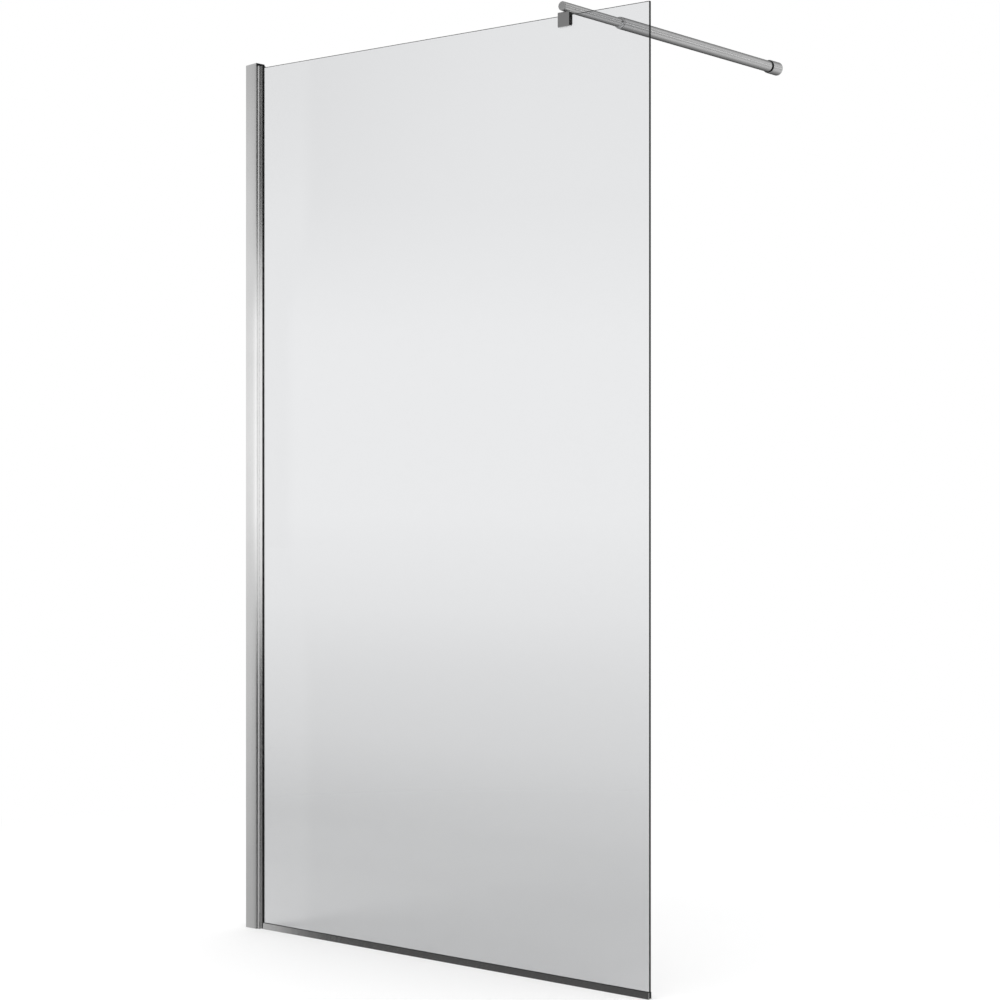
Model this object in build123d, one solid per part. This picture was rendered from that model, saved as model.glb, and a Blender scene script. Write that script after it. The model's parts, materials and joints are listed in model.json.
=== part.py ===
from build123d import *
import os

# A fixed walk-in shower screen: a glass panel in a two-part wall profile, with a
# telescopic stay that runs from a clamp on the top edge of the glass to the far wall.
# All sizes are in millimetres. X runs from the wall along the glass, Y runs square to
# the glass towards the wall that the stay reaches, and Z is up. The origin is on the
# wall face of the wall profile, in the middle of the glass thickness, at the floor.

# Overall sizes
panel_width = 1100.0
screen_height = 1950.0
glass_drop = 8.0
glass_thickness = 6.0
glass_lift = 5.0
glass_arris = 0.5

# Clearances
slide_gap = 0.3
seat_gap = 0.05
running_gap = 0.05
thread_gap = 0.05

# Wall profile, a channel that opens away from the wall
wall_profile_depth = 33.0
wall_profile_width = 26.6
wall_profile_back = 2.2
wall_profile_side = 1.8
wall_profile_lip = 2.0
wall_profile_corner = 0.5
screw_rib_start = 19.0
screw_rib_width = 8.0
wall_hole_radius = 2.6
wall_hole_end_distance = 105.0
wall_hole_count = 4
cap_plate = 0.6
cap_rise = 2.4
cap_leg_depth = 9.0
cap_leg_start = 4.5
cap_leg_width = 12.0

# Glazing profile, which slides in the wall profile and holds the glass
glazing_show = 6.0
glazing_pocket = 18.5
glazing_web = 1.5
glazing_tail = 2.5
glazing_side = 1.5
glazing_nose = 4.2
nose_side = 1.2
nose_gap = 0.8
glazing_corner = 0.4
glazing_cap_plate = 3.5
glazing_cap_nose = 0.5
glazing_cap_leg = 8.0

# Gaskets beside the glass, and blocks behind and under its edges
gasket_thickness = 5.6
gasket_depth = 6.0
gasket_bead = 0.9
gasket_inset = 0.4
gasket_nose = 0.5
gasket_lift = 0.5
edge_block_gap = 4.0
edge_block_height = 40.0
edge_block_count = 3
edge_block_end_distance = 160.0
setting_block_length = 60.0
setting_block_inset = 160.0

# Floor strip, a channel on the bottom edge of the glass
strip_height = 13.5
strip_base = 1.6
strip_foot_width = 10.5
strip_leg_top = 1.0
strip_foot_corner = 0.5
strip_start_gap = 2.6
liner_thickness = 0.7
liner_base = 0.6
liner_below_top = 0.7

# Screws that lock the glazing profile, and their covers
adjusting_screw_radius = 2.0
adjusting_screw_length = 2.1
adjusting_screw_count = 4
adjusting_screw_end_distance = 150.0
cover_radius = 4.0
cover_plate = 0.9
cover_stem_radius = 1.8

# Clamp on the top edge of the glass
clamp_from_free_edge = 202.0
clamp_width = 30.0
clamp_below_glass_top = 25.0
clamp_above_glass_top = 5.0
clamp_front = 12.0
clamp_corner = 1.5
clamp_rear_width = 14.0
clamp_rear_drop = 18.0
clamp_rear_thickness = 6.0
pad_thickness = 0.8
pad_gap = 0.1
pressure_plate_thickness = 1.2
pad_margin = 1.5
clamp_screw_radius = 2.0
clamp_screw_spacing = 8.0
clamp_screw_recess = 0.3

# Pivot between the clamp and the stay
pivot_bolt_radius = 2.5
pivot_head_radius = 4.3
pivot_head_height = 1.9
pivot_head_recess = 0.2
pivot_washer_radius = 6.5
pivot_washer_thickness = 0.5
pivot_play = 0.1
saddle_radius = 7.0
saddle_web = 0.9
nut_seat_height = 3.0
nut_seat_length = 14.0
pivot_nut_flats = 8.0
pivot_nut_height = 4.0
pivot_bolt_end = 1.2

# Stay, from the near end of the inner tube to the far wall
stay_reach = 806.0
stay_overhang = 17.0
inner_tube_radius = 9.5
inner_tube_wall = 1.5
outer_tube_wall = 1.5
guide_ring_wall = 1.7
outer_tube_start = 186.5
tube_overlap = 300.0
end_plug_plate = 2.0
end_plug_spigot = 6.0
end_plug_round = 1.2
guide_ring_length = 20.0
guide_ring_groove = 1.5
guide_ring_flange = 3.0
guide_ring_step = 0.5
guide_ring_round = 1.0
glide_length = 12.0
glide_spigot = 12.0
lock_screw_radius = 2.0
tube_rim = 0.4

# Fixing at the far wall, under its cover
base_plate = 4.0
base_spigot = 28.0
base_head_radius = 5.0
base_screw_wall = 8.0
base_hole_radius = 2.7
base_screw_radius = 2.0
base_screw_length = 4.0
rosette_wall = 1.0
rosette_length = 37.5
rosette_wall_gap = 0.5
rosette_rim = 0.4
seal_thickness = 1.5
seal_show = 3.0
seal_length = 7.0
seal_round = 0.8
rosette_shoulder = 2.2

# Small details, each as a share of the size that it follows
screw_edge_share = 0.15
socket_radius_share = 0.55
socket_depth_share = 0.55
gasket_lead_in_share = 0.35
gasket_bevel_share = 0.5
cover_rim_share = 0.6
clamp_face_bevel_share = 0.6
bolt_socket_radius_share = 0.6
bolt_socket_depth_share = 0.8
base_screw_place_share = 0.45

# Places that follow from the sizes above
glass_top = screen_height - glass_drop
half_glass = glass_thickness / 2
half_wall_profile = wall_profile_width / 2
wall_profile_top = screen_height - cap_plate
half_pocket = half_glass + gasket_thickness
half_glazing = half_pocket + glazing_side
half_opening = half_glass + nose_gap
half_nose = half_opening + nose_side
glazing_step = wall_profile_depth + glazing_show
glazing_front = glazing_step + glazing_nose
pocket_front = glazing_step - glazing_side
pocket_floor = pocket_front - glazing_pocket
glazing_back = pocket_floor - glazing_web - glazing_tail
glazing_cap_top = wall_profile_top - slide_gap
glazing_top = glazing_cap_top - glazing_cap_plate
glass_edge = pocket_floor + edge_block_gap
half_mouth = half_glazing + slide_gap
rib_middle = screw_rib_start + screw_rib_width / 2
strip_start = glazing_front + strip_start_gap
half_strip = strip_foot_width / 2
strip_inside = half_glass + liner_thickness
clamp_x = panel_width - clamp_from_free_edge
clamp_top = glass_top + clamp_above_glass_top
clamp_bottom = glass_top - clamp_below_glass_top
bridge_bottom = glass_top + slide_gap
pad_face = half_glass + pad_gap
pad_back = pad_face + pad_thickness
plate_back = pad_back + pressure_plate_thickness
rear_leg_face = plate_back + slide_gap
rear_leg_back = rear_leg_face + clamp_rear_thickness
rear_leg_bottom = bridge_bottom - clamp_rear_drop
washer_top = clamp_top + pivot_washer_thickness
saddle_bottom = washer_top + pivot_play
stay_z = saddle_bottom + saddle_web + inner_tube_radius
inner_tube_bore = inner_tube_radius - inner_tube_wall
outer_tube_bore = inner_tube_radius + guide_ring_wall
outer_tube_radius = outer_tube_bore + outer_tube_wall
inner_tube_near = end_plug_plate - stay_overhang
inner_tube_far = outer_tube_start + tube_overlap
nut_seat_top = stay_z - inner_tube_bore + nut_seat_height
nut_bottom = nut_seat_top + slide_gap
nut_top = nut_bottom + pivot_nut_height
base_plate_near = stay_reach - base_plate
outer_tube_end = base_plate_near - seat_gap
rosette_bore = outer_tube_radius + seal_thickness
rosette_radius = rosette_bore + rosette_wall
base_plate_radius = rosette_bore - slide_gap
rosette_far = stay_reach - rosette_wall_gap
rosette_near = rosette_far - rosette_length


def block(low, high):
    """A box between two opposite corners."""
    size = [b - a for a, b in zip(low, high)]
    middle = [(a + b) / 2 for a, b in zip(low, high)]
    return Pos(*middle) * Box(*size)


def area(x_low, x_high, y_low, y_high):
    """A rectangle in plan between two corners."""
    place = Pos((x_low + x_high) / 2, (y_low + y_high) / 2)
    return place * Rectangle(x_high - x_low, y_high - y_low)


def upright(section, low, high):
    """A plan section pulled up from one height to another."""
    return extrude(Pos(0, 0, low) * section, amount=high - low, dir=(0, 0, 1))


def seen_from_front(points):
    """A section in X and Z, drawn out through the wall profile's width."""
    section = Plane.XZ * make_face(Polyline(*points, close=True))
    return extrude(section, amount=wall_profile_width, both=True)


def rod(radius, start, end):
    """A round bar between two points."""
    axis = Vector(*end) - Vector(*start)
    return extrude(Plane(origin=start, z_dir=axis) * Circle(radius), amount=axis.length)


def tube(radius, bore, start, end):
    """A round tube between two points."""
    return rod(radius, start, end) - rod(bore, start, end)


def round_edges(shape):
    """The round edges of a shape."""
    return shape.edges().filter_by(GeomType.CIRCLE)


def set_screw(radius, tip, top):
    """A headless screw with broken edges and a hexagon socket in its top."""
    body = rod(radius, tip, top)
    body = chamfer(round_edges(body), radius * screw_edge_share)
    inward = Vector(*tip) - Vector(*top)
    socket = Plane(origin=top, z_dir=inward) * RegularPolygon(radius * socket_radius_share, 6)
    return body - extrude(socket, amount=inward.length * socket_depth_share)


def spread(count, low, high):
    """Places spread evenly from low to high."""
    step = (high - low) / (count - 1)
    return [low + step * number for number in range(count)]


def on_stay(y, x_offset=0.0, z_offset=0.0):
    """A point beside the axis of the stay."""
    return (clamp_x + x_offset, y, stay_z + z_offset)


def save(name, shape):
    """Write one piece, or one group of like pieces, under its name."""
    solids = shape if isinstance(shape, list) else [shape]
    solids = [solid for item in solids for solid in item.solids()]
    whole = solids[0] if len(solids) == 1 else Compound(children=solids)
    whole.label = name
    export_step(whole, "parts/" + name + ".step")


def wall_holes():
    """Heights of the holes for the wall screws."""
    high = screen_height - wall_hole_end_distance
    return spread(wall_hole_count, wall_hole_end_distance, high)


def adjusting_heights():
    """Heights of the screws that lock the glazing profile."""
    high = screen_height - adjusting_screw_end_distance
    return spread(adjusting_screw_count, adjusting_screw_end_distance, high)


def make_wall_profile():
    """The channel that is screwed to the wall."""
    outline = area(0, wall_profile_depth, -half_wall_profile, half_wall_profile)
    front_corners = outline.vertices().group_by(Axis.X)[-1]
    outline = fillet(front_corners, wall_profile_corner)
    inside = half_wall_profile - wall_profile_side
    lip_start = wall_profile_depth - wall_profile_lip
    hollow = area(wall_profile_back, lip_start, -inside, inside)
    rib_end = screw_rib_start + screw_rib_width
    for side in (-1, 1):
        edges = sorted((side * half_mouth, side * inside))
        hollow -= area(screw_rib_start, rib_end, *edges)
    mouth = area(lip_start, wall_profile_depth, -half_mouth, half_mouth)
    profile = upright(outline - hollow - mouth, 0, wall_profile_top)
    for height in wall_holes():
        profile -= rod(wall_hole_radius, (0, 0, height), (wall_profile_back, 0, height))
    for height in adjusting_heights():
        start = (rib_middle, half_mouth, height)
        end = (rib_middle, half_wall_profile, height)
        profile -= rod(adjusting_screw_radius + thread_gap, start, end)
    return profile


def make_wall_profile_cap():
    """The cap on the wall profile, rising to its front, with two legs between the side walls."""
    outline = area(0, wall_profile_depth, -half_wall_profile, half_wall_profile)
    outline = fillet(outline.vertices().group_by(Axis.X)[-1], wall_profile_corner)
    cap_front = screen_height + cap_rise
    side_view = [
        (0, wall_profile_top),
        (wall_profile_depth, wall_profile_top),
        (wall_profile_depth, cap_front),
        (0, screen_height),
    ]
    cap = upright(outline, wall_profile_top, cap_front) & seen_from_front(side_view)
    outer = half_wall_profile - wall_profile_side - seat_gap
    for side in (-1, 1):
        edges = sorted((side * half_mouth, side * outer))
        leg = area(cap_leg_start, cap_leg_start + cap_leg_width, *edges)
        cap += upright(leg, wall_profile_top - cap_leg_depth, wall_profile_top)
    return cap


def make_adjusting_screws():
    """The screws in the rear wall of the wall profile that lock the glazing profile."""
    end = half_mouth + adjusting_screw_length
    screws = []
    for height in adjusting_heights():
        tip = (rib_middle, half_mouth, height)
        screws.append(set_screw(adjusting_screw_radius, tip, (rib_middle, end, height)))
    return screws


def make_screw_covers():
    """The push-in covers over the adjusting screws."""
    face = half_wall_profile + cover_plate
    stem_end = half_mouth + adjusting_screw_length + seat_gap
    covers = []
    for height in adjusting_heights():
        plate = rod(cover_radius, (rib_middle, half_wall_profile, height), (rib_middle, face, height))
        rim = round_edges(plate).sort_by(Axis.Y)[-1]
        plate = fillet(rim, cover_plate * cover_rim_share)
        stem_start = (rib_middle, stem_end, height)
        plate += rod(cover_stem_radius, stem_start, (rib_middle, half_wall_profile, height))
        covers.append(plate)
    return covers


def glazing_outline():
    """The glazing profile in plan, filled in: a wide body and a narrow nose beside the glass."""
    body = area(glazing_back, glazing_step, -half_glazing, half_glazing)
    nose = area(glazing_step, glazing_front, -half_nose, half_nose)
    body = fillet(body.vertices().group_by(Axis.X)[-1], glazing_corner)
    nose = fillet(nose.vertices().group_by(Axis.X)[-1], glazing_corner)
    return body + nose


def make_glazing_profile():
    """The profile that holds the glass and slides in the wall profile."""
    pocket = area(pocket_floor, pocket_front, -half_pocket, half_pocket)
    opening = area(pocket_front, glazing_front, -half_opening, half_opening)
    tail_end = glazing_back + glazing_tail
    tail = area(glazing_back, tail_end, -half_pocket, half_pocket)
    return upright(glazing_outline() - pocket - opening - tail, 0, glazing_top)


def make_glazing_profile_cap():
    """The cap on the glazing profile, falling to its nose, with a leg in the pocket."""
    side_view = [
        (glazing_back, glazing_top),
        (glazing_front, glazing_top),
        (glazing_front, glazing_top + glazing_cap_nose),
        (wall_profile_depth, glazing_cap_top),
        (glazing_back, glazing_cap_top),
    ]
    cap = upright(glazing_outline(), glazing_top, glazing_cap_top) & seen_from_front(side_view)
    half_leg = half_pocket - seat_gap
    leg = area(pocket_floor + seat_gap, glass_edge - 2 * seat_gap, -half_leg, half_leg)
    return cap + upright(leg, glazing_top - glazing_cap_leg, glazing_top)


def gasket_section(side):
    """A gasket between the glass and one wall of the pocket, with a bead outside."""
    shoulder = pocket_front - seat_gap
    back = shoulder - gasket_depth
    outer = half_pocket - seat_gap
    neck = half_opening - seat_gap
    face = glazing_front + seat_gap
    front = face + gasket_bead
    lead_in = gasket_thickness * gasket_lead_in_share
    points = [
        (back, half_glass + lead_in),
        (back + lead_in, half_glass),
        (front, half_glass),
        (front, half_glass + gasket_nose),
        (face + gasket_nose, half_nose - gasket_inset),
        (face, half_nose - gasket_inset),
        (face, neck),
        (shoulder, neck),
        (shoulder, outer),
        (back + gasket_thickness * gasket_bevel_share, outer),
    ]
    corners = [(x, side * y) for x, y in points]
    return make_face(Polyline(*corners, close=True))


def make_gasket(side):
    """One of the two black gaskets, from near the floor to the top of the profile."""
    return upright(gasket_section(side), gasket_lift, glazing_top)


def make_edge_blocks():
    """The blocks between the glazing profile and the edge of the glass."""
    high = glass_top - edge_block_end_distance
    half = half_pocket - seat_gap
    blocks = []
    for middle in spread(edge_block_count, edge_block_end_distance, high):
        low = (pocket_floor, -half, middle - edge_block_height / 2)
        blocks.append(block(low, (glass_edge, half, middle + edge_block_height / 2)))
    return blocks


def make_glass_panel():
    """The sheet of safety glass, with its sharp edges taken off."""
    low = (glass_edge, -half_glass, glass_lift)
    glass = block(low, (panel_width, half_glass, glass_top))
    faces = glass.faces().sort_by(Axis.Y)
    edges = faces[0].edges() + faces[-1].edges()
    return chamfer(edges, glass_arris)


def along_glass(points):
    """A section in Y and Z, drawn out along the floor strip."""
    plane = Plane(origin=(strip_start, 0, 0), x_dir=(0, 1, 0), z_dir=(1, 0, 0))
    section = plane * make_face(Polyline(*points, close=True))
    return extrude(section, amount=panel_width - strip_start, dir=(1, 0, 0))


def make_floor_strip():
    """The channel on the bottom edge of the glass, whose legs thin towards their tops."""
    leg_top = strip_inside + strip_leg_top
    foot = half_strip - strip_foot_corner
    half = [
        (0, 0),
        (foot, 0),
        (half_strip, strip_foot_corner),
        (leg_top, strip_height),
        (strip_inside, strip_height),
        (strip_inside, strip_base),
        (0, strip_base),
    ]
    other = [(-y, z) for y, z in reversed(half[1:-1])]
    return along_glass(half + other)


def make_strip_liner():
    """The soft channel between the glass and the floor strip."""
    top = strip_height - liner_below_top
    low = glass_lift - liner_base
    points = [
        (-strip_inside, low),
        (strip_inside, low),
        (strip_inside, top),
        (half_glass, top),
        (half_glass, glass_lift),
        (-half_glass, glass_lift),
        (-half_glass, top),
        (-strip_inside, top),
    ]
    return along_glass(points)


def make_setting_blocks():
    """The blocks in the floor strip that carry the glass."""
    top = glass_lift - liner_base
    middles = (strip_start + setting_block_inset, panel_width - setting_block_inset)
    blocks = []
    for middle in middles:
        low = (middle - setting_block_length / 2, -half_glass, strip_base)
        blocks.append(block(low, (middle + setting_block_length / 2, half_glass, top)))
    return blocks


def clamp_screw_heights():
    """Heights of the two screws in the rear leg of the clamp."""
    middle = (rear_leg_bottom + bridge_bottom) / 2
    return (middle - clamp_screw_spacing / 2, middle + clamp_screw_spacing / 2)


def make_clamp_body():
    """The clamp: a front block, a bridge over the glass and a narrower rear leg."""
    half = clamp_width / 2
    half_rear = clamp_rear_width / 2
    low = (clamp_x - half, -clamp_front, clamp_bottom)
    front = block(low, (clamp_x + half, -pad_back, clamp_top))
    front = fillet(front.edges().filter_by(Axis.Y), clamp_corner)
    front = chamfer(front.faces().sort_by(Axis.Y)[0].edges(), clamp_corner * clamp_face_bevel_share)
    low = (clamp_x - half_rear, -pad_back, bridge_bottom)
    bridge = block(low, (clamp_x + half_rear, rear_leg_back, clamp_top))
    low = (clamp_x - half_rear, rear_leg_face, rear_leg_bottom)
    leg = block(low, (clamp_x + half_rear, rear_leg_back, bridge_bottom))
    body = front + bridge + leg
    body -= rod(pivot_bolt_radius + thread_gap, (clamp_x, 0, bridge_bottom), (clamp_x, 0, clamp_top))
    body -= pivot_head(seat_gap, bridge_bottom)
    for height in clamp_screw_heights():
        start = (clamp_x, rear_leg_face, height)
        body -= rod(clamp_screw_radius + thread_gap, start, (clamp_x, rear_leg_back, height))
    return body


def pivot_head(gap, low):
    """The countersunk head of the pivot bolt, or the hole for it with a gap."""
    head_low = bridge_bottom + pivot_head_recess
    top = head_low + pivot_head_height
    place = Pos(clamp_x, 0, (head_low + top) / 2)
    head = place * Cone(pivot_head_radius + gap, pivot_bolt_radius + gap, pivot_head_height)
    if low < head_low:
        head += rod(pivot_head_radius + gap, (clamp_x, 0, low), (clamp_x, 0, head_low))
    return head


def make_front_pad():
    """The soft pad between the front of the clamp and the glass."""
    half = clamp_width / 2 - pad_margin
    low = (clamp_x - half, -pad_back, clamp_bottom + pad_margin)
    return block(low, (clamp_x + half, -pad_face, glass_top))


def make_rear_pad():
    """The soft pad between the pressure plate and the glass."""
    half = clamp_rear_width / 2
    low = (clamp_x - half, pad_face, rear_leg_bottom)
    return block(low, (clamp_x + half, pad_back, glass_top))


def make_pressure_plate():
    """The plate that the clamp screws push against the rear pad."""
    half = clamp_rear_width / 2
    low = (clamp_x - half, pad_back, rear_leg_bottom)
    return block(low, (clamp_x + half, plate_back, glass_top))


def make_clamp_screws():
    """The two screws in the rear leg of the clamp."""
    screws = []
    for height in clamp_screw_heights():
        tip = (clamp_x, plate_back, height)
        top = (clamp_x, rear_leg_back - clamp_screw_recess, height)
        screws.append(set_screw(clamp_screw_radius, tip, top))
    return screws


def make_pivot_bolt():
    """The bolt that the stay turns on, with its head under the bridge of the clamp."""
    head_low = bridge_bottom + pivot_head_recess
    head_top = head_low + pivot_head_height
    end = nut_top + pivot_bolt_end
    bolt = pivot_head(0, head_low)
    bolt += rod(pivot_bolt_radius, (clamp_x, 0, head_top), (clamp_x, 0, end))
    socket = Pos(clamp_x, 0, head_low) * RegularPolygon(pivot_bolt_radius * bolt_socket_radius_share, 6)
    return bolt - extrude(socket, amount=pivot_head_height * bolt_socket_depth_share)


def make_pivot_washer():
    """The thin plain bearing washer under the saddle."""
    bore = pivot_bolt_radius + running_gap
    return tube(pivot_washer_radius, bore, (clamp_x, 0, clamp_top), (clamp_x, 0, washer_top))


def make_pivot_nut():
    """The locking nut on the pivot bolt, inside the inner tube."""
    hexagon = Pos(clamp_x, 0, nut_bottom) * RegularPolygon(pivot_nut_flats / 2, 6, major_radius=False)
    nut = extrude(hexagon, amount=pivot_nut_height)
    return nut - rod(pivot_bolt_radius + thread_gap, (clamp_x, 0, nut_bottom), (clamp_x, 0, nut_top))


def stay_bore(radius, low, high):
    """A hole up through the stay for the pivot bolt."""
    return rod(radius, (clamp_x, 0, low), (clamp_x, 0, high))


def make_stay_saddle():
    """The round neck under the inner tube, hollowed on top to cradle it."""
    saddle = rod(saddle_radius, (clamp_x, 0, saddle_bottom), (clamp_x, 0, stay_z - inner_tube_bore / 2))
    cradle = inner_tube_radius + seat_gap
    saddle -= rod(cradle, on_stay(-stay_overhang), on_stay(stay_overhang))
    return saddle - stay_bore(pivot_bolt_radius + running_gap, saddle_bottom, stay_z)


def make_nut_seat():
    """The insert in the bottom of the inner tube, with a flat top for the nut."""
    half = nut_seat_length / 2
    seat = rod(inner_tube_bore - seat_gap, on_stay(-half), on_stay(half))
    low = on_stay(-half, -inner_tube_radius, nut_seat_top - stay_z)
    seat -= block(low, on_stay(half, inner_tube_radius, inner_tube_radius))
    bore = pivot_bolt_radius + running_gap
    return seat - stay_bore(bore, stay_z - inner_tube_radius, nut_seat_top)


def make_inner_tube():
    """The thinner tube of the stay, which the saddle carries."""
    body = tube(inner_tube_radius, inner_tube_bore, on_stay(inner_tube_near), on_stay(inner_tube_far))
    return body - stay_bore(pivot_bolt_radius + slide_gap, stay_z - inner_tube_radius, stay_z)


def make_end_plug():
    """The plug in the near end of the inner tube."""
    plate = rod(inner_tube_radius, on_stay(-stay_overhang), on_stay(inner_tube_near))
    rim = round_edges(plate).sort_by(Axis.Y)[0]
    plate = fillet(rim, end_plug_round)
    spigot_end = on_stay(inner_tube_near + end_plug_spigot)
    return plate + rod(inner_tube_bore - seat_gap, on_stay(inner_tube_near), spigot_end)


def make_tube_glide():
    """The plastic glide on the far end of the inner tube, inside the outer tube."""
    head_end = on_stay(inner_tube_far + glide_length)
    head = rod(outer_tube_bore - running_gap, on_stay(inner_tube_far), head_end)
    spigot_start = on_stay(inner_tube_far - glide_spigot)
    return head + rod(inner_tube_bore - seat_gap, spigot_start, on_stay(inner_tube_far))


def lock_screw_y():
    """The lock screw goes through the middle of the guide ring's stretch in the tube."""
    return outer_tube_start + guide_ring_length / 2


def base_screw_y():
    """The screw that holds the outer tube is near the middle of the spigot."""
    return base_plate_near - base_spigot * base_screw_place_share


def side_hole(radius, y):
    """A hole into the stay from the side away from the free edge."""
    return rod(radius + thread_gap, on_stay(y, -outer_tube_radius), on_stay(y))


def make_outer_tube():
    """The thicker tube of the stay, which slides over the inner tube."""
    body = rod(outer_tube_radius, on_stay(outer_tube_start), on_stay(outer_tube_end))
    rim = round_edges(body).sort_by(Axis.Y)[0]
    body = fillet(rim, tube_rim)
    body -= rod(outer_tube_bore, on_stay(outer_tube_start), on_stay(outer_tube_end))
    body -= side_hole(lock_screw_radius, lock_screw_y())
    return body - side_hole(base_screw_radius, base_screw_y())


def make_guide_ring():
    """The bearing ring in the mouth of the outer tube, with a rounded collar outside it."""
    collar_end = outer_tube_start - guide_ring_groove
    collar_start = collar_end - guide_ring_flange
    end = outer_tube_start + guide_ring_length
    collar = rod(outer_tube_radius - guide_ring_step, on_stay(collar_start), on_stay(collar_end))
    rim = round_edges(collar).sort_by(Axis.Y)[0]
    ring = fillet(rim, guide_ring_round)
    ring += rod(outer_tube_bore - seat_gap, on_stay(collar_end), on_stay(end))
    ring -= rod(inner_tube_radius + running_gap, on_stay(collar_start), on_stay(end))
    return ring - side_hole(lock_screw_radius, lock_screw_y())


def make_tube_lock_screw():
    """The screw that locks the two tubes of the stay at their length."""
    y = lock_screw_y()
    tip = on_stay(y, -inner_tube_radius - slide_gap)
    return set_screw(lock_screw_radius, tip, on_stay(y, -outer_tube_radius + seat_gap))


def make_wall_base():
    """The base on the far wall, with a hollow spigot in the end of the outer tube."""
    plate = rod(base_plate_radius, on_stay(base_plate_near), on_stay(stay_reach))
    spigot_start = on_stay(base_plate_near - base_spigot)
    base = plate + rod(outer_tube_bore - seat_gap, spigot_start, on_stay(base_plate_near))
    base -= rod(base_head_radius, spigot_start, on_stay(stay_reach - base_screw_wall))
    base -= rod(base_hole_radius, spigot_start, on_stay(stay_reach))
    y = base_screw_y()
    return base - side_hole(base_screw_radius, y)


def make_base_screw():
    """The screw through the side of the outer tube into the spigot of the base."""
    y = base_screw_y()
    top = -outer_tube_radius + seat_gap
    return set_screw(base_screw_radius, on_stay(y, top + base_screw_length), on_stay(y, top))


def make_wall_rosette():
    """The cover sleeve at the far wall, which slides along the outer tube."""
    sleeve = rod(rosette_radius, on_stay(rosette_near), on_stay(rosette_far))
    rim = round_edges(sleeve).sort_by(Axis.Y)[0]
    sleeve = fillet(rim, rosette_rim)
    seal_end = rosette_near - seal_show + seal_length
    shoulder_end = seal_end + rosette_shoulder
    sleeve -= rod(rosette_bore, on_stay(rosette_near), on_stay(seal_end))
    sleeve -= rod(outer_tube_radius + slide_gap, on_stay(seal_end), on_stay(shoulder_end))
    return sleeve - rod(rosette_bore, on_stay(shoulder_end), on_stay(rosette_far))


def make_rosette_seal():
    """The black ring in the mouth of the cover sleeve, which stands a little out of it."""
    start = on_stay(rosette_near - seal_show)
    end = on_stay(rosette_near - seal_show + seal_length)
    ring = rod(rosette_bore - seat_gap, start, end)
    rim = round_edges(ring).sort_by(Axis.Y)[0]
    return fillet(rim, seal_round) - rod(outer_tube_radius + running_gap, start, end)


os.makedirs("parts", exist_ok=True)
save("wall_profile", make_wall_profile())
save("wall_profile_cap", make_wall_profile_cap())
save("adjusting_screws", make_adjusting_screws())
save("screw_covers", make_screw_covers())
save("glazing_profile", make_glazing_profile())
save("glazing_profile_cap", make_glazing_profile_cap())
save("front_gasket", make_gasket(-1))
save("rear_gasket", make_gasket(1))
save("edge_blocks", make_edge_blocks())
save("glass_panel", make_glass_panel())
save("floor_strip", make_floor_strip())
save("strip_liner", make_strip_liner())
save("setting_blocks", make_setting_blocks())
save("clamp_body", make_clamp_body())
save("front_pad", make_front_pad())
save("rear_pad", make_rear_pad())
save("pressure_plate", make_pressure_plate())
save("clamp_screws", make_clamp_screws())
save("pivot_bolt", make_pivot_bolt())
save("pivot_washer", make_pivot_washer())
save("pivot_nut", make_pivot_nut())
save("stay_saddle", make_stay_saddle())
save("nut_seat", make_nut_seat())
save("inner_tube", make_inner_tube())
save("end_plug", make_end_plug())
save("tube_glide", make_tube_glide())
save("outer_tube", make_outer_tube())
save("guide_ring", make_guide_ring())
save("tube_lock_screw", make_tube_lock_screw())
save("wall_base", make_wall_base())
save("base_screw", make_base_screw())
save("wall_rosette", make_wall_rosette())
save("rosette_seal", make_rosette_seal())
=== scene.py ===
import json
import math

import bpy
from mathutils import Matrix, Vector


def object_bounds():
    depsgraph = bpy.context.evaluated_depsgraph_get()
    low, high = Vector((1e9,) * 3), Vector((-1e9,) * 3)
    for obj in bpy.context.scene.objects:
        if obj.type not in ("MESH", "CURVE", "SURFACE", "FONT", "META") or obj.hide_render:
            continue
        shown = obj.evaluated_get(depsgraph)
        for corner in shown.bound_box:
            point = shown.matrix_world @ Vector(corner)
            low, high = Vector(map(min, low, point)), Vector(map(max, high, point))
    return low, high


# A walk-in shower screen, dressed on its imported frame. Metres, Z up. X runs from the wall
# along the glass, and Y runs square to the glass, along the stay.

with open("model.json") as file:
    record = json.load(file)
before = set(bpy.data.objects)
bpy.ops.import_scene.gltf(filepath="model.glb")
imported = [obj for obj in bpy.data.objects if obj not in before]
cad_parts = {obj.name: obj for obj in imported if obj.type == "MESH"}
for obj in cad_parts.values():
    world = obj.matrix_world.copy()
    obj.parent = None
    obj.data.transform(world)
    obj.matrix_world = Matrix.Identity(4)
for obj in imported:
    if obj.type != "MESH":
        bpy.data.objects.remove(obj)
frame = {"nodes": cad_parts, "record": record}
cad_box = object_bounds()
nodes = frame["nodes"]
scene = bpy.context.scene

# The photograph's view: a level camera, with the horizon a little above the middle
CAMERA_PLACE = (3.44734, -3.40044, 0.99917)
CAMERA_TURN = 38.67
PICTURE_SIDE = 1000.0
FOCAL_PIXELS = 2119.16
HORIZON_PIXEL = 485.67
SENSOR = 36.0

# Floor: its size, how far its shadow is kept, and its own level, its glow and what it is
# to rays that come from neither the camera nor the glass
FLOOR_RADIUS = 30.0
FLOOR_MIDDLE = (0.55, 0.4, 0.0)
SHADOW_RADIUS = 2.2
PAPER_LEVEL = 0.86
PAPER_GLOW = 0.13
PAPER_TO_OTHERS = 0.3

# Light from all round, and the white of the panels that polished metal mirrors
AMBIENT = 0.9
PANEL_WHITE = 1.08

# Wall profile, whose side faces are slightly crowned
PROFILE_DEPTH = 0.033
PROFILE_CROWN = 0.0001

# How much of the glazing profile's side faces mirrors, where the rest is satin
SATIN_MIRROR = 0.8

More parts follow.
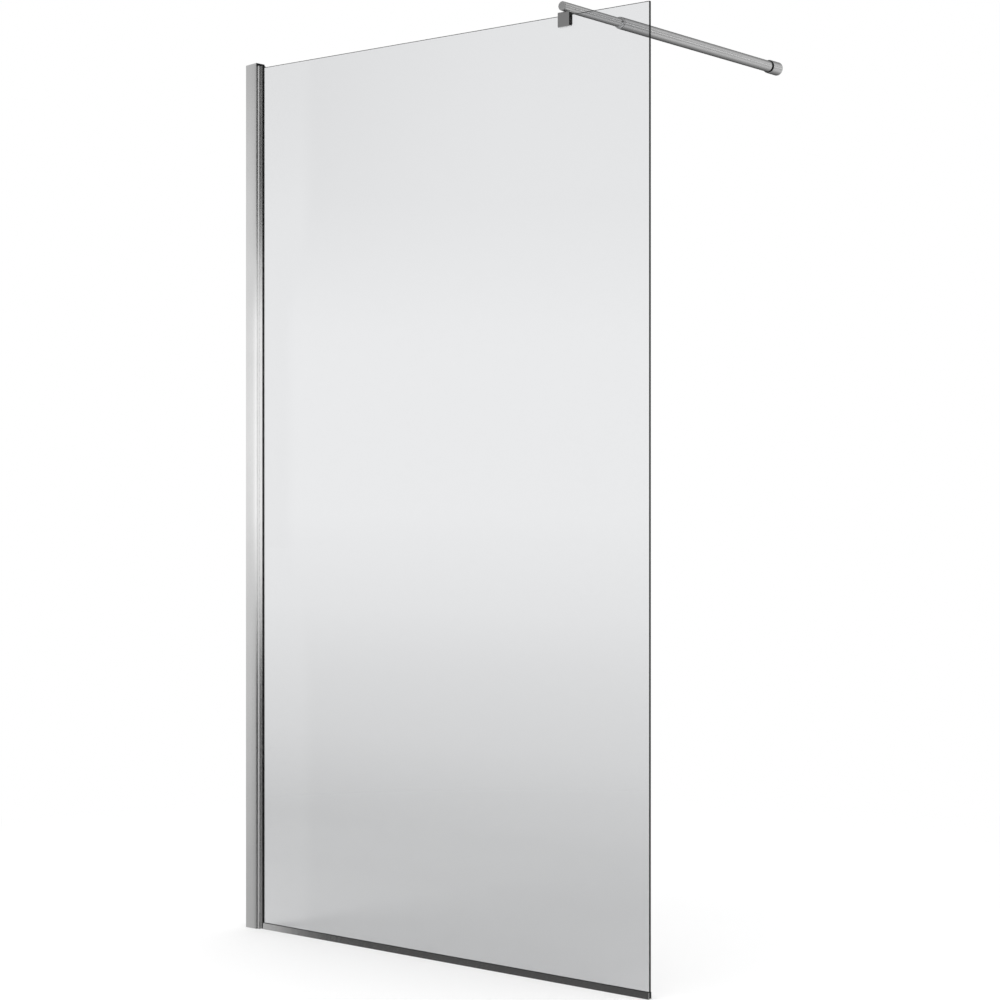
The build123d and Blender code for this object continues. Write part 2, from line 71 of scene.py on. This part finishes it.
# Glass: its painted shade at each height, darker towards the floor, how much more painted shade
# darkens its top towards the wall, its red and blue against its green, its polished edges and what it
# lets through to its shadow
GLASS_PAINTED_SHADE_TONES = [
    (0.0, 0.62),
    (0.06, 0.58),
    (0.17, 0.55),
    (0.27, 0.562),
    (0.46, 0.675),
    (0.64, 0.74),
    (0.74, 0.78),
    (0.93, 0.812),
    (1.3, 0.817),
    (1.6, 0.838),
    (1.942, 0.825),
]
TOP_PAINTED_SHADE_BY_WALL = 0.94
GLASS_RED = 0.992
GLASS_BLUE = 1.012
GLASS_EDGE = (0.010, 0.013, 0.012, 1.0)
GLASS_SHADOW = 0.9


class Graph:
    """Short calls that add and join shader nodes in one tree."""

    def __init__(self, tree):
        self.tree = tree
        tree.nodes.clear()

    def node(self, kind, inputs=None, **settings):
        made = self.tree.nodes.new(kind)
        for name, value in settings.items():
            setattr(made, name, value)
        for name, value in (inputs or {}).items():
            self.put(made.inputs[name], value)
        return made

    def put(self, socket, value):
        if isinstance(value, bpy.types.NodeSocket):
            self.tree.links.new(value, socket)
        else:
            socket.default_value = value

    def math(self, operation, a, b=0.0, clamp=False):
        made = self.node("ShaderNodeMath", {0: a, 1: b}, operation=operation)
        made.use_clamp = clamp
        return made.outputs[0]

    def ramp(self, value, low, high, start=0.0, end=1.0, smooth=True):
        """A value's smooth step from start, at low, to end, at high."""
        kind = "SMOOTHSTEP" if smooth else "LINEAR"
        made = self.node("ShaderNodeMapRange", interpolation_type=kind)
        for socket, number in zip(("Value", "From Min", "From Max", "To Min", "To Max"),
                                  (value, low, high, start, end)):
            self.put(made.inputs[socket], number)
        return made.outputs[0]

    def levels(self, value, stops):
        """A level for each value, with straight steps between pairs of value and level."""
        low = stops[0][0]
        span = stops[-1][0] - low
        share = self.ramp(value, low, low + span, smooth=False)
        made = self.node("ShaderNodeValToRGB", {"Fac": share})
        marks = made.color_ramp.elements
        for place, level in stops[1:-1]:
            marks.new((place - low) / span)
        for mark, (place, level) in zip(marks, stops):
            mark.color = grey(level)
        return made.outputs["Color"]

    def mix(self, share, first, second):
        """A number between two numbers."""
        made = self.node("ShaderNodeMix", {0: share}, data_type="FLOAT")
        self.put(made.inputs[2], first)
        self.put(made.inputs[3], second)
        return made.outputs[0]

    def blend(self, share, first, second):
        """A colour between two colours."""
        made = self.node("ShaderNodeMix", {0: share}, data_type="RGBA")
        self.put(made.inputs[6], first)
        self.put(made.inputs[7], second)
        return made.outputs[2]

    def noise(self, vector, scale, detail=2.0, roughness=0.5):
        made = self.node("ShaderNodeTexNoise", {"Vector": vector, "Scale": scale,
                                                "Detail": detail, "Roughness": roughness})
        return made.outputs["Fac"]

    def stretch(self, vector, scale):
        return self.node("ShaderNodeMapping", {"Vector": vector, "Scale": scale}).outputs[0]

    def place(self):
        return self.node("ShaderNodeTexCoord").outputs["Object"]

    def axis(self, vector, name):
        return self.node("ShaderNodeSeparateXYZ", {0: vector}).outputs[name]

    def faces_along(self, name):
        """One on faces square to an axis, and zero on all others."""
        normal = self.node("ShaderNodeNewGeometry").outputs["True Normal"]
        return self.math("GREATER_THAN", self.math("ABSOLUTE", self.axis(normal, name)), 0.9)

    def seen_rays(self, rays):
        """One for rays from the camera or through the glass, and zero for all others."""
        return self.math("MAXIMUM", rays.outputs["Is Camera Ray"], rays.outputs["Is Transmission Ray"])

    def bump(self, height, distance, strength=1.0, under=None):
        made = self.node("ShaderNodeBump", {"Height": height, "Distance": distance,
                                            "Strength": strength})
        if under is not None:
            self.put(made.inputs["Normal"], under)
        return made.outputs[0]

    def principled(self, inputs):
        shader = self.node("ShaderNodeBsdfPrincipled", inputs)
        self.output(shader)
        return shader

    def output(self, shader):
        output = self.node("ShaderNodeOutputMaterial")
        self.tree.links.new(shader.outputs[0], output.inputs[0])


def grey(level):
    """A colour of one level."""
    return (level, level, level, 1.0)


def new_material(name):
    """A new material and the graph of its tree."""
    made = bpy.data.materials.new(name)
    made.use_nodes = True
    return made, Graph(made.node_tree)


def bright_aluminium(name, crowned=False, side_mirror=1.0):
    """Bright anodised profile, with faint lines along the extrusion."""
    made, g = new_material(name)
    place = g.place()
    lines = g.noise(g.stretch(place, (900.0, 900.0, 1.2)), 1.0, 3.0)
    cloud = g.noise(place, 9.0, 3.0)
    normal = g.bump(lines, 0.00002, 0.12)
    if crowned:
        across = g.math("DIVIDE", g.axis(place, "X"), PROFILE_DEPTH / 2)
        from_middle = g.math("SUBTRACT", across, 1.0)
        crown = g.math("SUBTRACT", 1.0, g.math("MULTIPLY", from_middle, from_middle))
        normal = g.bump(crown, PROFILE_CROWN, 1.0, normal)
    g.principled({
        "Base Color": g.blend(g.ramp(cloud, 0.35, 0.65), grey(0.88), grey(0.91)),
        "Metallic": g.mix(g.faces_along("Y"), 1.0, side_mirror),
        "Roughness": g.ramp(lines, 0.3, 0.7, 0.06, 0.10),
        "Normal": normal,
    })
    return made


def chrome(name, level, roughness):
    """Chrome plate, with faint wiping marks."""
    made, g = new_material(name)
    place = g.place()
    marks = g.noise(g.stretch(place, (60.0, 14.0, 60.0)), 1.0, 4.0, 0.6)
    g.principled({
        "Base Color": grey(level),
        "Metallic": 1.0,
        "Roughness": g.ramp(marks, 0.35, 0.75, roughness * 0.85, roughness * 1.15),
        "Normal": g.bump(marks, 0.00001, 0.1),
    })
    return made


def glass_painted_shade_and_tint(g):
    """Painted shade that darkens the glass towards the floor and, at its top, towards the wall, with
    the glass's own faint red and blue.
    """
    place = g.place()
    height = g.axis(place, "Z")
    # Painted shade: the glass is darker towards the floor, standing in for the floor's shade seen
    # through it
    painted_shade_level = g.levels(height, GLASS_PAINTED_SHADE_TONES)
    # Painted shade: the top of the glass is darker towards the wall
    painted_shade_by_wall = g.math("MULTIPLY", g.ramp(g.axis(place, "X"), 0.8, 0.0), g.ramp(height, 1.2, 1.9))
    painted_shade_level = g.math("MULTIPLY", painted_shade_level, g.mix(painted_shade_by_wall, 1.0, TOP_PAINTED_SHADE_BY_WALL))
    painted_shade_and_tint = g.node("ShaderNodeCombineColor", {
        0: g.math("MULTIPLY", painted_shade_level, GLASS_RED),
        1: painted_shade_level,
        2: g.math("MULTIPLY", painted_shade_level, GLASS_BLUE),
    })
    return painted_shade_and_tint.outputs[0]


def clear_glass():
    """Clear float glass, darker towards the floor by painted shade, with dark edges; its shadow is
    pale.
    """
    made, g = new_material("clear_glass")
    # The pane's colour carries painted shade, darker towards the floor
    painted_shade_and_tint = glass_painted_shade_and_tint(g)
    pane = g.faces_along("Y")
    shader = g.node("ShaderNodeBsdfPrincipled", {
        "Base Color": g.blend(pane, GLASS_EDGE, painted_shade_and_tint),
        "Roughness": g.mix(pane, 0.6, 0.0),
        "IOR": 1.5,
        "Transmission Weight": g.mix(pane, 0.05, 1.0),
    })
    rays = g.node("ShaderNodeLightPath")
    clear = g.node("ShaderNodeBsdfTransparent", {"Color": grey(GLASS_SHADOW)})
    shown = g.node("ShaderNodeMixShader", {0: rays.outputs["Is Shadow Ray"]})
    g.tree.links.new(shader.outputs[0], shown.inputs[1])
    g.tree.links.new(clear.outputs[0], shown.inputs[2])
    g.output(shown)
    return made


def plain(name, level, roughness, grain, depth):
    """A moulded or turned surface with a fine grain."""
    made, g = new_material(name)
    place = g.place()
    fine = g.noise(place, grain, 3.0, 0.6)
    cloud = g.noise(place, grain * 0.05, 2.0)
    g.principled({
        "Base Color": g.blend(cloud, grey(level * 0.85), grey(level * 1.15)),
        "Roughness": g.ramp(fine, 0.3, 0.7, roughness - 0.06, roughness + 0.06),
        "Normal": g.bump(fine, depth, 0.3),
    })
    return made


def steel():
    """Turned stainless steel."""
    made, g = new_material("steel")
    place = g.place()
    lines = g.noise(g.stretch(place, (400.0, 60.0, 400.0)), 1.0, 3.0)
    g.principled({
        "Base Color": grey(0.55),
        "Metallic": 1.0,
        "Roughness": g.ramp(lines, 0.3, 0.7, 0.22, 0.34),
        "Normal": g.bump(lines, 0.00002, 0.2),
    })
    return made


materials = {
    "bright_aluminium": bright_aluminium("bright_aluminium"),
    "chrome": chrome("chrome", 0.70, 0.26),
    "clear_glass": clear_glass(),
    "black_rubber": plain("black_rubber", 0.012, 0.5, 900.0, 0.00003),
    "black_plastic": plain("black_plastic", 0.016, 0.45, 1500.0, 0.00004),
    "soft_liner": plain("soft_liner", 0.06, 0.55, 900.0, 0.00003),
    "nylon": plain("nylon", 0.08, 0.4, 1200.0, 0.00003),
    "steel": steel(),
}
special = {
    "wall_profile": bright_aluminium("crowned_aluminium", crowned=True),
    "glazing_profile": bright_aluminium("satin_sided_aluminium", side_mirror=SATIN_MIRROR),
    "clamp_body": chrome("polished_chrome", 0.70, 0.06),
}
for part in frame["record"]["subparts"]:
    mesh = nodes[part["node"]].data
    mesh.materials.clear()
    mesh.materials.append(special.get(part["node"], materials[part["material_slot"]]))


def studio_level(g, direction):
    """How bright the studio is in each direction that polished metal mirrors."""
    degree = math.degrees(1.0)
    across, along, rise = (g.axis(direction, name) for name in "XYZ")
    height = g.math("MULTIPLY", g.math("ARCSINE", rise), degree)
    turn = g.math("MULTIPLY", g.math("ARCTAN2", across, along), degree)
    far_side = g.levels(turn, [(-180.0, 0.30), (-90.0, 0.20), (-60.0, 0.06), (-35.0, 0.06),
                               (-13.0, 0.22), (10.0, 0.36), (28.0, 0.72), (180.0, 0.72)])
    right_side = g.levels(height, [(-90.0, 0.35), (-28.0, 0.35), (-12.0, 0.12), (-8.0, 0.02),
                                   (-5.2, 0.02), (-2.0, 1.0), (4.8, 1.0), (7.3, 0.015),
                                   (16.0, 0.015), (28.0, 0.40), (90.0, 0.45)])
    left_panel = g.levels(height, [(-90.0, 0.38), (-20.0, 0.38), (-11.5, 0.41), (-7.9, 0.47),
                                   (-4.0, 0.56), (-1.0, 0.69), (1.8, 0.74), (5.0, 0.66),
                                   (8.0, 0.60), (10.7, 0.48), (14.0, 0.42), (90.0, 0.38)])
    near_side = g.levels(height, [(-90.0, 0.20), (-20.0, 0.07), (-6.0, 0.07), (0.0, 0.30),
                                  (14.0, 0.25), (40.0, 0.40), (90.0, 0.45)])
    white_band = g.levels(height, [(-90.0, 0.0), (-5.5, 0.0), (-1.0, 1.0), (4.0, 1.0),
                                   (9.0, 0.0), (90.0, 0.0)])
    level = g.mix(g.ramp(turn, 33.5, 36.5), far_side, right_side)
    level = g.mix(g.ramp(turn, 150.0, 165.0), level, near_side)
    facing_near = g.math("LESS_THAN", turn, -100.0)
    left_edge = g.math("MULTIPLY", facing_near, g.ramp(turn, -135.9, -136.4))
    level = g.mix(g.ramp(turn, -80.0, -95.0), level, left_panel)
    level = g.mix(left_edge, level, near_side)
    band_edge = g.math("MULTIPLY", facing_near, g.ramp(turn, -134.9, -135.9))
    level = g.math("MAXIMUM", level, g.math("MULTIPLY", white_band, band_edge))
    return g.math("MULTIPLY", level, PANEL_WHITE)


def make_world():
    """White to the camera and through the glass, and a studio of panels to polished metal."""
    world = bpy.data.worlds.new("studio")
    scene.world = world
    world.use_nodes = True
    g = Graph(world.node_tree)
    direction = g.node("ShaderNodeTexCoord").outputs["Generated"]
    rays = g.node("ShaderNodeLightPath")
    seen = g.seen_rays(rays)
    mirrored = g.math("GREATER_THAN", rays.outputs["Glossy Depth"], 0.5)
    mirrored = g.math("MULTIPLY", mirrored, rays.outputs["Is Glossy Ray"])
    strength = g.mix(mirrored, g.mix(seen, AMBIENT, 1.0), studio_level(g, direction))
    background = g.node("ShaderNodeBackground", {"Color": grey(1.0), "Strength": strength})
    output = g.node("ShaderNodeOutputWorld")
    g.tree.links.new(background.outputs[0], output.inputs[0])


def pale_floor():
    """Pale paper that takes a shadow near the screen and is white further off."""
    made, g = new_material("pale_floor")
    place = g.place()
    away = g.node("ShaderNodeVectorMath", {0: place}, operation="LENGTH").outputs["Value"]
    seen = g.seen_rays(g.node("ShaderNodeLightPath"))
    far = g.ramp(away, SHADOW_RADIUS * 0.6, SHADOW_RADIUS)
    paper = g.node("ShaderNodeBsdfDiffuse", {"Color": grey(PAPER_LEVEL)})
    glow = g.node("ShaderNodeEmission", {"Color": grey(1.0), "Strength": PAPER_GLOW})
    lit = g.node("ShaderNodeAddShader")
    g.tree.links.new(paper.outputs[0], lit.inputs[0])
    g.tree.links.new(glow.outputs[0], lit.inputs[1])
    white = g.node("ShaderNodeEmission", {"Color": grey(1.0), "Strength": 1.0})
    shown = g.node("ShaderNodeMixShader", {0: far})
    g.tree.links.new(lit.outputs[0], shown.inputs[1])
    g.tree.links.new(white.outputs[0], shown.inputs[2])
    mixed = g.node("ShaderNodeMixShader", {0: seen})
    plain_paper = g.node("ShaderNodeBsdfDiffuse", {"Color": grey(PAPER_TO_OTHERS)})
    g.tree.links.new(plain_paper.outputs[0], mixed.inputs[1])
    g.tree.links.new(shown.outputs[0], mixed.inputs[2])
    g.output(mixed)
    return made


def make_floor():
    """A wide round floor that polished metal doesn't mirror."""
    bpy.ops.mesh.primitive_circle_add(vertices=96, radius=FLOOR_RADIUS, fill_type="NGON",
                                      location=FLOOR_MIDDLE)
    floor = bpy.context.object
    floor.name = "floor"
    floor.visible_glossy = False
    floor.data.materials.append(pale_floor())


def make_lamp(name, place, size, power):
    """A soft square lamp that faces the middle of the screen and shows in no mirror or glass."""
    data = bpy.data.lights.new(name, "AREA")
    data.size = size
    data.energy = power
    lamp = bpy.data.objects.new(name, data)
    scene.collection.objects.link(lamp)
    lamp.location = place
    middle = (cad_box[0] + cad_box[1]) / 2
    lamp.rotation_euler = (middle - lamp.location).to_track_quat("-Z", "Y").to_euler()
    lamp.visible_glossy = False
    lamp.visible_transmission = False


def make_camera():
    """The photograph's camera."""
    data = bpy.data.cameras.new("camera")
    data.sensor_width = SENSOR
    data.lens = FOCAL_PIXELS / PICTURE_SIDE * SENSOR
    data.shift_y = (HORIZON_PIXEL - PICTURE_SIDE / 2) / PICTURE_SIDE
    data.clip_start = 0.05
    data.clip_end = 200.0
    camera = bpy.data.objects.new("camera", data)
    scene.collection.objects.link(camera)
    camera.location = CAMERA_PLACE
    camera.rotation_euler = (math.radians(90.0), 0.0, math.radians(CAMERA_TURN))
    scene.camera = camera


make_world()
make_floor()
make_lamp("key_lamp", place=(-1.5, -3.0, 3.6), size=2.5, power=60.0)
make_lamp("fill_lamp", place=(4.0, -1.0, 3.0), size=3.0, power=40.0)
make_camera()
scene.view_settings.view_transform = "Standard"
